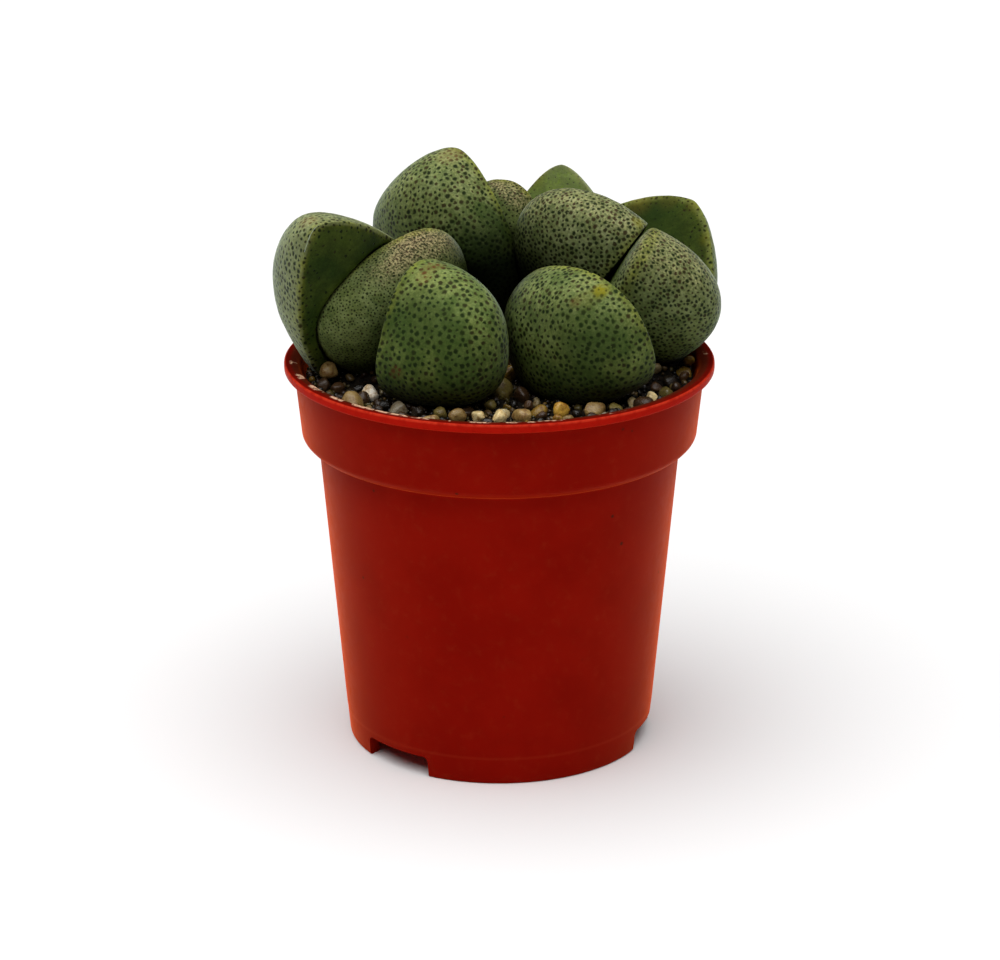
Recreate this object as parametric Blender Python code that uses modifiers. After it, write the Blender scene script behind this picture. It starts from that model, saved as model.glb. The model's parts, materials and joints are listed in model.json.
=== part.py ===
"""A split rock plant in a small round nursery pot, in metres, +Z up.

The origin is the centre of the pot's foot, on the surface that it stands on. The front is at -Y.
"""

import math
import random
from collections import namedtuple

import bmesh
import bpy
from mathutils import Euler, Matrix, Vector

MM = 0.001
GAP = 0.3 * MM
SHARP_ANGLE = 35

# Pot: a thin moulded shell, its outside given as (radius, height).
POT_SIDES = 40
WALL = 0.9 * MM
FOOT = (19.7 * MM, 0.0)
BODY_TOP = (23.25 * MM, 40.0 * MM)
BAND_UNDER = (24.6 * MM, 40.35 * MM)
BAND_FOOT = (25.35 * MM, 41.15 * MM)
BAND_TOP = (26.2 * MM, 49.6 * MM)
SHOULDER = (0.7 * MM, 0.85 * MM, 0.75 * MM)
SHOULDER_INSET = 0.5 * MM
LIP_RADIUS = 27.5 * MM
LIP_TOP = 50.85 * MM
LIP_THICKNESS = 1.15 * MM
LIP_EDGE = 0.35 * MM
LIP_MOUTH = 26.3 * MM
MOUTH_DROP = 0.95 * MM
FLOOR_UNDER = 2.6 * MM
FLOOR_TOP = 3.5 * MM
FOOT_RING = 1.5 * MM
NOTCH_FIRST = -42.6
NOTCH_COUNT = 3
NOTCH_SIZE = (10.4 * MM, 6.0 * MM, 2.75 * MM)
NOTCH_ROUND = 0.7 * MM
CUT_PAST = 1.0 * MM
DRAIN_RADIUS = 2.4 * MM
DRAIN_CIRCLE = 12.5 * MM
CENTRE_DRAIN_RADIUS = 2.6 * MM
DRAIN_SIDES = 12

# Soil and the layer of grit on it.
SOIL_TOP = 46.5 * MM
SOIL_STEP = (0.9 * MM, 0.85 * MM)
SOIL_CLEAR = 1.2 * GAP
GRIT_BOTTOM = SOIL_TOP + GAP
GRIT_TOP = 48.1 * MM
STONE_COUNT = 74
STONE_TRIES = 6000
STONE_RADIUS = (1.1 * MM, 1.8 * MM)
STONE_SQUASH = (0.72, 1.0)
STONE_DENT = 0.12
STONE_RISE = (0.15, 0.45)
STONE_CROWDING = 0.8
STONE_MARGIN = 1.5 * GAP
STONE_SEED = 12

# Leaves: half eggs whose flat faces have a slight crown.
LEAF_SEGMENTS = 22
LEAF_RINGS = 14
RING_POWER = 2.2
SIDE_POWER = 2.4
NECK_RADIUS = 2.6 * MM
NECK_FOOT_RADIUS = 2.0 * MM
NECK_SIDES = 10
NECK_FOOT = 43.5 * MM
NECK_INSET = 3.0 * MM

# place: the middle of the flat face, in mm. heading: where that face looks, turned from +Y about Z.
# lean: how far it looks up. roll: how far the tip falls sideways in the face. The angles are in degrees.
# width and height: the flat face. depth: the rounded back. taper: how much narrower the tip is.
# chin: how much fuller the back is towards the tip. point: how blunt the tip is, where 2 makes it round and
# 1 a straight-sided corner. crown: how far the flat face bulges, in mm.
Leaf = namedtuple("Leaf", "name place heading lean roll width height depth taper chin point crown presses")
LEAVES = (
    Leaf("leaf_front_left", (-10.0, -7.0, 56.7), 50, 2.5, 8, 14.7, 18.0, 13.0, 0.25, -0.07, 2.4, 0.9, ()),
    Leaf("leaf_front_right", (10.7, -5.7, 56.2), -45, 15.5, -11.5, 23.0, 17.7, 8.7, 0.07, -0.14, 2.4, 0.9,
         ()),
    Leaf("leaf_left_front", (-13.9, 0.1, 58.3), 33.5, 14, -28.5, 22.0, 16.4, 6.4, -0.08, 0.12, 2.4, 0.9,
         ("leaf_front_left",)),
    Leaf("leaf_right_lower", (15.9, -0.4, 59.7), 80, 25, -14, 11.8, 18.7, 12.2, -0.21, 0.15, 2.1, 2.2,
         ("leaf_front_right",)),
    Leaf("leaf_right_upper", (12.6, 6.3, 59.1), -102, -38, 28, 12.3, 25.0, 12.7, -0.27, 0.38, 1.7, 0.9,
         ("leaf_front_right", "leaf_right_lower")),
    Leaf("leaf_left_rear", (-18.5, -3.1, 60.0), -138, -13.5, 35.5, 18.2, 27.1, 10.6, 0.19, 0.21, 1.6, 0.9,
         ("leaf_left_front",)),
    Leaf("leaf_tall", (-6.2, 15.0, 63.0), -43.5, 2, 7.5, 23.6, 23.7, 8.0, 0.20, 0.40, 1.65, 0.9,
         ("leaf_left_front", "leaf_right_upper", "leaf_left_rear")),
    Leaf("leaf_right_rear", (17.0, 8.8, 57.1), 144.5, 27.5, -24, 24.5, 28.3, 6.8, -0.15, 0.36, 1.45, 0.9,
         ("leaf_right_lower", "leaf_right_upper")),
    Leaf("leaf_middle", (1.5, 18.2, 58.5), -31, 6.5, -3.5, 12.0, 22.4, 6.2, -0.07, 0.0, 2.4, 0.9,
         ("leaf_right_upper", "leaf_right_rear", "leaf_tall")),
    Leaf("leaf_back", (7.5, 20.4, 58.0), 158.5, 13, 1.5, 17.5, 25.0, 5.6, 0.16, 0.25, 1.6, 0.9,
         ("leaf_right_upper", "leaf_right_rear", "leaf_middle")),
    Leaf("leaf_tall_mate", (-7.8, 18.6, 55.0), 136.5, -2, -4, 9.5, 16.5, 4.4, 0.10, 0.10, 2.4, 0.9,
         ("leaf_tall", "leaf_middle", "leaf_left_rear")),
)

# Materials: the colour as linear RGB, and the roughness.
RED_PLASTIC = ("red plastic", (0.27, 0.012, 0.006), 0.38)
DARK_SOIL = ("soil", (0.018, 0.012, 0.008), 0.95)
TAN_GRIT = ("grit", (0.12, 0.085, 0.05), 0.8)
GREEN_SKIN = ("leaf green", (0.10, 0.15, 0.065), 0.5)
BROWN_SKIN = ("leaf brown", (0.15, 0.13, 0.075), 0.55)
BROWN_LEAVES = ("leaf_left_front", "leaf_middle")


def clear_scene():
    for obj in list(bpy.data.objects):
        bpy.data.objects.remove(obj, do_unlink=True)


def new_collection(name, hidden=False):
    collection = bpy.data.collections.new(name)
    collection.hide_render = hidden
    bpy.context.scene.collection.children.link(collection)
    return collection


def new_material(name, color, roughness):
    material = bpy.data.materials.new(name)
    material.use_nodes = True
    shader = material.node_tree.nodes["Principled BSDF"]
    shader.inputs["Base Color"].default_value = (*color, 1.0)
    shader.inputs["Roughness"].default_value = roughness
    shader.inputs["Metallic"].default_value = 0.0
    return material


def new_object(name, bm, collection, material=None):
    mesh = bpy.data.meshes.new(name)
    bmesh.ops.recalc_face_normals(bm, faces=bm.faces)
    bm.to_mesh(mesh)
    bm.free()
    mesh.shade_smooth()
    mesh.set_sharp_from_angle(angle=math.radians(SHARP_ANGLE))
    obj = bpy.data.objects.new(name, mesh)
    if material:
        mesh.materials.append(material)
    collection.objects.link(obj)
    return obj


def as_helper(obj):
    obj.hide_render = True
    obj.display_type = "WIRE"
    return obj


def add_boolean(obj, other, operation):
    modifier = obj.modifiers.new(f"{operation.lower()} {other.name}", "BOOLEAN")
    modifier.operation = operation
    modifier.solver = "EXACT"
    modifier.object = other


def turned(name, profile, collection, material, sides=POT_SIDES):
    """A solid turned about Z from (radius, height) points that start and end on the axis."""
    bm = bmesh.new()
    points = [bm.verts.new((radius, 0.0, height)) for radius, height in profile]
    for start, end in zip(points, points[1:]):
        bm.edges.new((start, end))
    obj = new_object(name, bm, collection, material)
    screw = obj.modifiers.new("turn", "SCREW")
    screw.axis = "Z"
    screw.angle = math.tau
    screw.steps = sides
    screw.render_steps = sides
    screw.use_merge_vertices = True
    screw.merge_threshold = 0.01 * MM
    screw.use_smooth_shade = True
    return obj


def cylinder(name, radius_low, radius_high, low, high, centre, sides, collection):
    bm = bmesh.new()
    bmesh.ops.create_cone(bm, cap_ends=True, segments=sides, radius1=radius_low,
                          radius2=radius_high, depth=high - low)
    obj = new_object(name, bm, collection)
    obj.location = (centre[0], centre[1], (low + high) / 2)
    return obj


def around(degrees_from_front, radius):
    angle = math.radians(degrees_from_front)
    return Vector((radius * math.sin(angle), -radius * math.cos(angle), 0.0))


def between(start, end, height):
    """The radius at a height on the straight line between two (radius, height) points."""
    share = (height - start[1]) / (end[1] - start[1])
    return start[0] + share * (end[0] - start[0])


def arc(centre, radius, start, end, steps):
    """Points on an arc in (radius, height), its angles in degrees from +X."""
    points = []
    for step in range(steps + 1):
        angle = math.radians(start + (end - start) * step / steps)
        points.append((centre[0] + radius * math.cos(angle), centre[1] + radius * math.sin(angle)))
    return points


def inside_wall(height):
    """The radius of the pot's inner surface, inside the band or inside the body."""
    if height > BAND_FOOT[1] + WALL:
        return between(BAND_FOOT, BAND_TOP, height) - WALL
    return between(FOOT, BODY_TOP, height) - WALL


def pot_profile():
    low_rise, mid_rise, high_rise = SHOULDER
    step_low = BODY_TOP[1] + low_rise
    step_mid = (BAND_UNDER[0] - SHOULDER_INSET, BAND_UNDER[1] + mid_rise)
    step_high = (BAND_FOOT[0] - WALL, BAND_FOOT[1] + high_rise)
    inner_top = LIP_TOP - MOUTH_DROP
    lip_low = LIP_TOP - LIP_THICKNESS
    edge = LIP_RADIUS - LIP_EDGE
    return [
        (0.0, FLOOR_TOP),
        (inside_wall(FLOOR_TOP), FLOOR_TOP),
        (between(FOOT, BODY_TOP, step_low) - WALL, step_low),
        step_mid,
        step_high,
        (between(BAND_FOOT, BAND_TOP, inner_top) - WALL, inner_top),
        *arc((LIP_MOUTH, LIP_TOP - MOUTH_DROP), MOUTH_DROP, 165, 90, 3),
        *arc((edge, LIP_TOP - LIP_EDGE), LIP_EDGE, 90, 0, 2),
        *arc((edge, lip_low + LIP_EDGE), LIP_EDGE, 0, -90, 2),
        (BAND_TOP[0], lip_low),
        BAND_TOP,
        BAND_FOOT,
        BAND_UNDER,
        BODY_TOP,
        FOOT,
        (FOOT[0] - FOOT_RING, 0.0),
        (FOOT[0] - FOOT_RING, FLOOR_UNDER),
        (0.0, FLOOR_UNDER),
    ]


def notch_cutter(degrees, collection):
    width, depth, height = NOTCH_SIZE
    bm = bmesh.new()
    bmesh.ops.create_cube(bm, size=1.0)
    bmesh.ops.scale(bm, vec=(width, depth, height + CUT_PAST), verts=bm.verts)
    obj = new_object(f"notch_{degrees:.0f}", bm, collection)
    obj.location = around(degrees, FOOT[0]) + Vector((0, 0, (height - CUT_PAST) / 2))
    obj.rotation_euler.z = math.radians(degrees)
    bevel = obj.modifiers.new("round corners", "BEVEL")
    bevel.width = NOTCH_ROUND
    bevel.segments = 2
    return as_helper(obj)


def make_pot(parts, cutters):
    pot = turned("pot", pot_profile(), parts, new_material(*RED_PLASTIC))
    centres = [Vector((0, 0, 0))]
    for index in range(NOTCH_COUNT):
        degrees = NOTCH_FIRST + index * 360 / NOTCH_COUNT
        add_boolean(pot, notch_cutter(degrees, cutters), "DIFFERENCE")
        centres.append(around(degrees, DRAIN_CIRCLE))
    for index, centre in enumerate(centres):
        radius = DRAIN_RADIUS if index else CENTRE_DRAIN_RADIUS
        drain = cylinder(f"drain_{index}", radius, radius, FLOOR_UNDER - CUT_PAST,
                         FLOOR_TOP + CUT_PAST, centre, DRAIN_SIDES, cutters)
        add_boolean(pot, as_helper(drain), "DIFFERENCE")
    return pot


def make_soil(parts):
    low = BODY_TOP[1] + SOIL_STEP[0]
    step = BAND_FOOT[1] + SOIL_STEP[1]
    bottom = FLOOR_TOP + GAP
    profile = [
        (0.0, SOIL_TOP),
        (inside_wall(SOIL_TOP) - GAP, SOIL_TOP),
        (between(BAND_FOOT, BAND_TOP, step) - WALL - SOIL_CLEAR, step),
        (inside_wall(low) - SOIL_CLEAR, low),
        (inside_wall(bottom) - GAP, bottom),
        (0.0, bottom),
    ]
    return turned("soil", profile, parts, new_material(*DARK_SOIL))


def turn_of(leaf):
    """Turn to +Z for the heading, about X for the lean and about Y for the roll, the roll first."""
    angles = (math.radians(leaf.lean), math.radians(leaf.roll), math.radians(leaf.heading))
    return Euler(angles, "YXZ")


def frame_of(leaf):
    place = Vector(leaf.place) * MM
    return Matrix.Translation(place) @ turn_of(leaf).to_matrix().to_4x4()


def half_sizes(leaf, share, grow):
    """Half the width, and the depth of the back, at a share from -1 (foot) to 1 (tip) of the height."""
    half_width = leaf.width * MM / 2 * (1 - leaf.taper * share) + grow
    depth = leaf.depth * MM * (1 + leaf.chin * share) + grow
    return half_width, depth


def roundness(x, y, z, leaf):
    """The power of the leaf's outline there, and how far out the point lies, where 1 is on the skin."""
    power = leaf.point if z > 0 else SIDE_POWER
    ring = abs(x) ** RING_POWER + abs(y) ** RING_POWER
    return power, ring ** (power / RING_POWER) + abs(z) ** power


def leaf_point(direction, leaf, grow):
    """Where a direction from the middle of the flat face meets the leaf's skin."""
    power, level = roundness(*direction, leaf)
    x, y, z = direction / level ** (1 / power)
    half_width, depth = half_sizes(leaf, z, grow)
    outward = depth if y < 0 else leaf.crown * MM + grow
    return Vector((half_width * x, outward * y, (leaf.height * MM / 2 + grow) * z))


def is_inside(point, leaf, grow):
    """Whether a point in the leaf's own frame lies in the leaf grown by a margin."""
    z = point.z / (leaf.height * MM / 2 + grow)
    half_width, depth = half_sizes(leaf, max(-1.0, min(1.0, z)), grow)
    y = point.y / (depth if point.y < 0 else leaf.crown * MM + grow)
    return roundness(point.x / half_width, y, z, leaf)[1] < 1


def make_leaf(name, leaf, grow, collection, helpers, material=None):
    """A leaf with the short neck that it stands on, its outside moved out by grow."""
    bm = bmesh.new()
    bmesh.ops.create_uvsphere(bm, u_segments=LEAF_SEGMENTS, v_segments=LEAF_RINGS, radius=1.0)
    frame = frame_of(leaf)
    lowest = Vector(leaf.place) * MM
    for vertex in bm.verts:
        direction = vertex.co.normalized()
        vertex.co = leaf_point(direction, leaf, grow)
        ungrown = frame @ leaf_point(direction, leaf, 0.0)
        lowest = min(lowest, ungrown, key=lambda point: point.z)
    body = new_object(name, bm, collection, material)
    body.location = Vector(leaf.place) * MM
    body.rotation_mode = "YXZ"
    body.rotation_euler = turn_of(leaf)
    neck = cylinder(f"{name}_neck", NECK_FOOT_RADIUS + grow, NECK_RADIUS + grow, NECK_FOOT - grow,
                    lowest.z + NECK_INSET, lowest, NECK_SIDES, helpers)
    add_boolean(body, as_helper(neck), "UNION")
    return body


def make_leaves(parts, cutters):
    """The leaves, and a copy of each grown by the gap, which cuts what it presses into."""
    green = new_material(*GREEN_SKIN)
    brown = new_material(*BROWN_SKIN)
    clearances = {}
    for leaf in LEAVES:
        material = brown if leaf.name in BROWN_LEAVES else green
        body = make_leaf(leaf.name, leaf, 0.0, parts, cutters, material)
        clearance = make_leaf(f"{leaf.name}_clearance", leaf, GAP, cutters, cutters)
        for other in leaf.presses:
            add_boolean(body, clearances[other], "DIFFERENCE")
        clearances[leaf.name] = as_helper(clearance)
    return clearances


def is_free(centre, radius, placed, frames):
    """Whether a stone stays clear of the pot, the leaves and, mostly, the other stones."""
    if centre.xy.length > inside_wall(GRIT_TOP) - GAP - radius:
        return False
    for other, other_radius in placed:
        if (centre.xy - other.xy).length < STONE_CROWDING * (radius + other_radius):
            return False
    for leaf, to_leaf in frames:
        if is_inside(to_leaf @ centre, leaf, radius + STONE_MARGIN):
            return False
    return True


def make_stone(index, centre, radius, draw, collection):
    """A rounded stone: a ball with few sides, squashed, turned and dented."""
    bm = bmesh.new()
    bmesh.ops.create_icosphere(bm, subdivisions=1, radius=radius)
    for vertex in bm.verts:
        vertex.co *= 1 - draw.uniform(0, STONE_DENT)
    turn = Euler([draw.uniform(0, math.tau) for _ in range(3)]).to_matrix().to_4x4()
    squash = Matrix.Diagonal([draw.uniform(*STONE_SQUASH) for _ in range(3)]).to_4x4()
    bmesh.ops.transform(bm, matrix=Matrix.Translation(centre) @ turn @ squash, verts=bm.verts)
    return new_object(f"stone_{index}", bm, collection)


def make_grit(parts, clearances):
    """A thin layer on the soil, with stones sunk into it at random places that are free."""
    wall = inside_wall(GRIT_BOTTOM) - GAP
    profile = [(0.0, GRIT_TOP), (wall, GRIT_TOP), (wall, GRIT_BOTTOM), (0.0, GRIT_BOTTOM)]
    grit = turned("grit", profile, parts, new_material(*TAN_GRIT))
    draw = random.Random(STONE_SEED)
    frames = [(leaf, frame_of(leaf).inverted()) for leaf in LEAVES]
    stones = new_collection("stones")
    placed = []
    for _ in range(STONE_TRIES):
        if len(placed) == STONE_COUNT:
            break
        radius = draw.uniform(*STONE_RADIUS)
        reach = inside_wall(GRIT_TOP) * math.sqrt(draw.random())
        centre = around(draw.uniform(0, 360), reach)
        centre.z = GRIT_TOP + radius * draw.uniform(*STONE_RISE)
        if is_free(centre, radius, placed, frames):
            make_stone(len(placed), centre, radius, draw, stones)
            placed.append((centre, radius))
    union = grit.modifiers.new("stones", "BOOLEAN")
    union.operation = "UNION"
    union.solver = "EXACT"
    union.operand_type = "COLLECTION"
    union.collection = stones
    graph = bpy.context.evaluated_depsgraph_get()
    joined = bpy.data.meshes.new_from_object(grit.evaluated_get(graph))
    grit.modifiers.clear()
    grit.data = joined
    for stone in list(stones.objects):
        bpy.data.objects.remove(stone, do_unlink=True)
    bpy.data.collections.remove(stones)
    for clearance in clearances.values():
        add_boolean(grit, clearance, "DIFFERENCE")
    return grit


def main():
    clear_scene()
    parts = new_collection("potted_split_rock")
    cutters = new_collection("cutters", hidden=True)
    make_pot(parts, cutters)
    soil = make_soil(parts)
    clearances = make_leaves(parts, cutters)
    for clearance in clearances.values():
        add_boolean(soil, clearance, "DIFFERENCE")
    make_grit(parts, clearances)


main()
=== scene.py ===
"""The looks of the potted split rock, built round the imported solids. Metres, +Z up, the front at -Y."""

import json
import math
import random
from collections import namedtuple
from functools import cached_property

import bmesh
import bpy
import numpy as np
from mathutils import Euler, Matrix, Vector, bvhtree, kdtree, noise

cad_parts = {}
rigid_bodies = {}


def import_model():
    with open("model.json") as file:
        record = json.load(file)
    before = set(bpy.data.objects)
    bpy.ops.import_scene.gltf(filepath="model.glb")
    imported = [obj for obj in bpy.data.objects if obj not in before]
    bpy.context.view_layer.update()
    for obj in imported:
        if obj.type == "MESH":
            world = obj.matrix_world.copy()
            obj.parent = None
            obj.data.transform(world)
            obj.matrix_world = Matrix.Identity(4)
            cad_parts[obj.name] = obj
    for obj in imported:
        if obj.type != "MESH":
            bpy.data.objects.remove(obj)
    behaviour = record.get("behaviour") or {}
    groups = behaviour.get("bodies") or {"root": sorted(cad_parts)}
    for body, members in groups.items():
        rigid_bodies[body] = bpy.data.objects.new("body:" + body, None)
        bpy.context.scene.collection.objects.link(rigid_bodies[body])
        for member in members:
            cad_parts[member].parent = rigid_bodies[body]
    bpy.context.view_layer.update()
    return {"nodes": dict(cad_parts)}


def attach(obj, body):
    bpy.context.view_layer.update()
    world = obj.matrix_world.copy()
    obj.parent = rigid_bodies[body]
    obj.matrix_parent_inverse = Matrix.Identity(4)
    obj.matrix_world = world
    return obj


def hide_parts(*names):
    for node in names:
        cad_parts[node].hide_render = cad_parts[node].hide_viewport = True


MM = 0.001
GAP = 0.3 * MM

# Camera: where it looks, how far off it stands, how far it looks down, and its lens.
LOOK_AT = (0.08 * MM, 0.0, 34.1 * MM)
CAMERA_DISTANCE = 450 * MM
CAMERA_PITCH = 19.55
LENS = 125.15
SENSOR = 36.0

# Light: the room's, and a softbox as wide as this angle, turned about X to the front and about Y to the left.
ROOM_LIGHT = 0.04
SOFTBOX_STRENGTH = 3.7
SOFTBOX_ANGLE = 80
SOFTBOX_LEAN = (8, -5, 0)
STUDIO_FLOOR = 3.0

# Pot, as in the solids. A point of its outline is a radius and a height.
POT_SIDES = 160
WALL = 0.9 * MM
FOOT = (19.7 * MM, 0.0)
BODY_TOP = (23.25 * MM, 40.0 * MM)
BAND_UNDER = (24.6 * MM, 40.35 * MM)
BAND_FOOT = (25.35 * MM, 41.15 * MM)
BAND_TOP = (26.2 * MM, 49.6 * MM)
UNDER_LIP = (0.1 * MM, 0.2 * MM)
SHOULDER = (0.7 * MM, 0.85 * MM, 0.75 * MM)
SHOULDER_INSET = 0.5 * MM
LIP_RADIUS = 27.5 * MM
LIP_TOP = 50.85 * MM
LIP_THICKNESS = 1.15 * MM
LIP_EDGE = 0.35 * MM
LIP_MOUTH = 26.3 * MM
MOUTH_EDGE = (0.57 * MM, 0.2 * MM)
MOUTH_DROP = 0.95 * MM
FLOOR_UNDER = 2.6 * MM
FLOOR_TOP = 3.5 * MM
FOOT_RING = 1.5 * MM
MOULD_LINE = 3.6 * MM
MOULD_LINE_DEPTH = 0.09 * MM
MOULD_LINE_SIDES = (0.25 * MM, 0.35 * MM)
CORNER_SHARE = 0.45
CORNER_STEPS = 4
SHARP_ANGLE = 40

# Notches in the foot ring, and drain holes in the floor: one in the middle and one inward of each notch.
NOTCH_FIRST = -42.6
NOTCH_COUNT = 3
NOTCH_SIZE = (10.4 * MM, 6.0 * MM, 2.75 * MM)
NOTCH_ROUND = 0.7 * MM
NOTCH_SEGMENTS = 5
CUT_PAST = 1.0 * MM
DRAIN_RADIUS = 2.4 * MM
DRAIN_CIRCLE = 12.5 * MM
CENTRE_DRAIN_RADIUS = 2.6 * MM
DRAIN_SIDES = 40

# Colours of the pot, as linear RGB.
RED_DEEP = (0.215, 0.0032, 0.0013)
RED_BRIGHT = (0.250, 0.0045, 0.0018)
POT_DUST = (0.30, 0.040, 0.015)
POT_SPECK = (0.035, 0.010, 0.006)
POT_LINE = (0.45, 0.050, 0.020)
# Painted light on the lip's outer face.
LIP_FACE_PAINTED_LIGHT = (0.42, 0.0080, 0.0035)
# Painted highlight along the lip's upper outer edge.
LIP_PAINTED_HIGHLIGHT = (0.62, 0.050, 0.020)
# The inner edge of the mouth is darker.
MOUTH_EDGE_DARK = (0.050, 0.010, 0.004)
LIME = (0.80, 0.50, 0.32)

# Where the pot's looks change, between two heights or two radii.
# The first two pairs of heights are where shade is painted on the lip's top and a highlight along its edge.
LIP_PAINTED_SHADE = (LIP_TOP - 0.5 * MM, LIP_TOP - 0.1 * MM)
LIP_HIGHLIGHT_HEIGHTS = (LIP_TOP - 0.36 * MM, LIP_TOP - 0.20 * MM)
LIP_SHEEN = (LIP_TOP - 1.3 * MM, LIP_TOP - 0.9 * MM)
LIP_FACE_DEPTH = (-0.30 * MM, -0.12 * MM)
MOUTH_HEIGHTS = (LIP_TOP - 0.9 * MM, LIP_TOP - 0.35 * MM)
MOUTH_RADII = (LIP_MOUTH + 0.15 * MM, LIP_MOUTH + 0.60 * MM)
LINE_WIDTH = (0.08 * MM, 0.30 * MM)
LIME_SIDE = (2 * MM, 24 * MM)

# Noises in the pot's plastic: the size of their lumps, their detail and their roughness.
CLOUD_NOISE = (9 * MM, 3.0, 0.55)
DUST_NOISE = (1.3 * MM, 4.0, 0.7)
RARE_NOISE = (7 * MM, 1.0, 0.5)
LIME_NOISE = (2.6 * MM, 2.0, 0.6)
CRUMB_NOISE = (0.5 * MM, 3.0, 0.7)
RIPPLE_NOISE = (2.2 * MM, 2.0, 0.5)
SPECK_SPACING = 3.2 * MM

# Grit bed: a disc of fines with a lumpy top, which rises round the necks and is banked up at the wall.
GRIT_BOTTOM = 46.8 * MM
GRIT_TOP = 48.1 * MM
BED_LEAST = GRIT_BOTTOM + 0.1 * MM
BED_SUNK = 0.2 * MM
BED_RINGS = 60
BED_SEGMENTS = 300
BED_ROUGH = 0.35 * MM
BED_LUMP = 1.1 * MM
BED_CRUMB = 0.45 * MM
CRUMB_SHARE = 0.6
MOUND_CLEAR = 3.2 * MM
MOUND_RISE = 0.7 * MM
MOUND_SLOPE = 0.9
BANK_RISE = 0.9 * MM
BANK = (21.0 * MM, 24.3 * MM)
SINK_ROUNDS = 12

# Pebbles from large to small: least and greatest radius, how many, and how finely they are modelled.
PEBBLE_SIZES = ((1.35 * MM, 1.75 * MM, 16, 6), (0.95 * MM, 1.3 * MM, 60, 5), (0.45 * MM, 0.8 * MM, 240, 3),
                (0.20 * MM, 0.40 * MM, 900, 2))
PEBBLE_SEED = 5
PEBBLE_TRIES = 30
PEBBLE_RISE = (-0.1, 0.5)
# How near a pebble comes to other pebbles and to leaves, where 1 is just touching.
PEBBLE_CROWDING = 0.96
LEAF_CROWDING = 0.9
# A pebble's shape: its flats and how far out they lie, how sharp the edges between them are, and its lumps.
PEBBLE_FLATS = 11
FLAT_REACH = (0.70, 1.0)
EDGE_SHARPNESS = (6, 14)
EDGE_FILL = 0.4
PEBBLE_REACH = 1.15
LUMP_FREQUENCY = 2.3
LUMP_DEPTH = 0.07
PEBBLE_SQUASH = ((0.75, 1.0), (0.85, 1.12), (0.68, 0.95))
# How bright a pebble is: the ones placed at random are darker, the smaller the more so.
PEBBLE_LIGHT = (0.75, 1.15)
FINE_LIGHT = 0.12
LIGHT_PER_MM = 0.375

# Colours of the soil and the grit, as linear RGB, and their noises.
SOIL_DARK = (0.003, 0.0022, 0.0015)
SOIL_LIGHT = (0.018, 0.012, 0.007)
SOOT = (0.016, 0.011, 0.006)
UMBER = (0.075, 0.038, 0.015)
TAN = (0.360, 0.240, 0.085)
OLIVE = (0.240, 0.190, 0.050)
GREY = (0.230, 0.200, 0.135)
OCHRE = (0.520, 0.310, 0.045)
CREAM = (0.850, 0.680, 0.340)
WHITE = (0.950, 0.870, 0.720)
PEBBLE_COLOURS = 6 * [SOOT] + 6 * [UMBER] + 4 * [TAN] + 4 * [OLIVE] + [GREY] + 2 * [OCHRE] + [CREAM]
STAIN = (0.45, 0.28, 0.10)
SPECK = (1.7, 1.6, 1.3)
SOIL_NOISE = (0.6 * MM, 5.0, 0.7)
VEIN_NOISE = (0.9 * MM, 4.0, 0.6)
SPECK_NOISE = (0.18 * MM, 2.0, 0.6)

# The pebbles that stand out in the front and at the sides: x and y in mm, radius in mm, colour, and for one
# that lies on others how high its centre is, in radii.
CHOSEN_PEBBLES = (
    (-22.5, -4.9, 1.4, TAN, 1.2), (-20.4, -6.0, 0.95, UMBER),
    (-18.5, -8.5, 1.0, SOOT), (-16.5, -8.5, 1.25, WHITE),
    (-12.5, -14.8, 1.3, GREY), (-10.1, -15.8, 1.0, SOOT),
    (-7.3, -16.2, 0.95, OLIVE), (-5.2, -17.5, 1.1, TAN),
    (-2.5, -17.4, 1.2, CREAM), (0.0, -17.7, 1.15, CREAM),
    (-1.3, -12.7, 0.9, OLIVE), (3.6, -12.9, 0.8, UMBER),
    (2.8, -17.6, 1.2, TAN), (5.2, -16.6, 0.75, UMBER),
    (7.6, -15.4, 1.3, OCHRE), (7.2, -18.2, 0.7, OCHRE),
    (10.9, -13.6, 1.4, TAN), (12.6, -16.2, 0.6, GREY),
    (14.5, -14.4, 0.9, OLIVE), (16.7, -12.6, 0.9, CREAM),
    (19.1, -10.4, 0.95, CREAM), (19.8, -6.0, 0.95, UMBER),
    (23.8, 2.8, 0.85, CREAM, 1.6), (24.2, 0.6, 0.75, OCHRE, 1.4),
    (22.6, -1.6, 1.0, OLIVE, 1.2), (21.6, 1.2, 1.2, SOOT),
    (23.5, -3.4, 0.8, UMBER), (21.6, -4.6, 1.2, SOOT),
)
CHOSEN_FINENESS = 6
CHOSEN_RISE = 0.4
# A chosen pebble whose place is taken moves in or out by the fewest of these steps.
CHOSEN_STEPS = 8
CHOSEN_STEP = 0.25 * MM

# Leaves, as in the solids. A frequency is how finely a leaf is modelled: for its skin, for the rays that its
# neighbours stop, and to find its lowest point.
RING_POWER = 2.2
SIDE_POWER = 2.4
SKIN_FREQUENCY = 40
SKY_FREQUENCY = 14
FOOT_FREQUENCY = 12
# The skin's slow wave and its fine pucker: how deep and how long each is.
SKIN_WAVE = (0.16 * MM, 6.0 * MM)
SKIN_PUCKER = (0.03 * MM, 1.3 * MM)
PUCKER_SEED = 40
WAVE_SHIFT = (7.1, 3.3, 5.7)
# Where the flat face starts: across its plane, and inward of its margin where the leaf's rim is 1.
FACE_EDGE = 0.25 * MM
FACE_RIM = (0.5 * MM, 1.5 * MM)
# Pressing a leaf out of another: the longest way out, how often it is halved, and the step for the slope.
PRESS_REACH = 5 * MM
PRESS_ROUNDS = 16
SLOPE_STEP = 0.05 * MM
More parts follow.
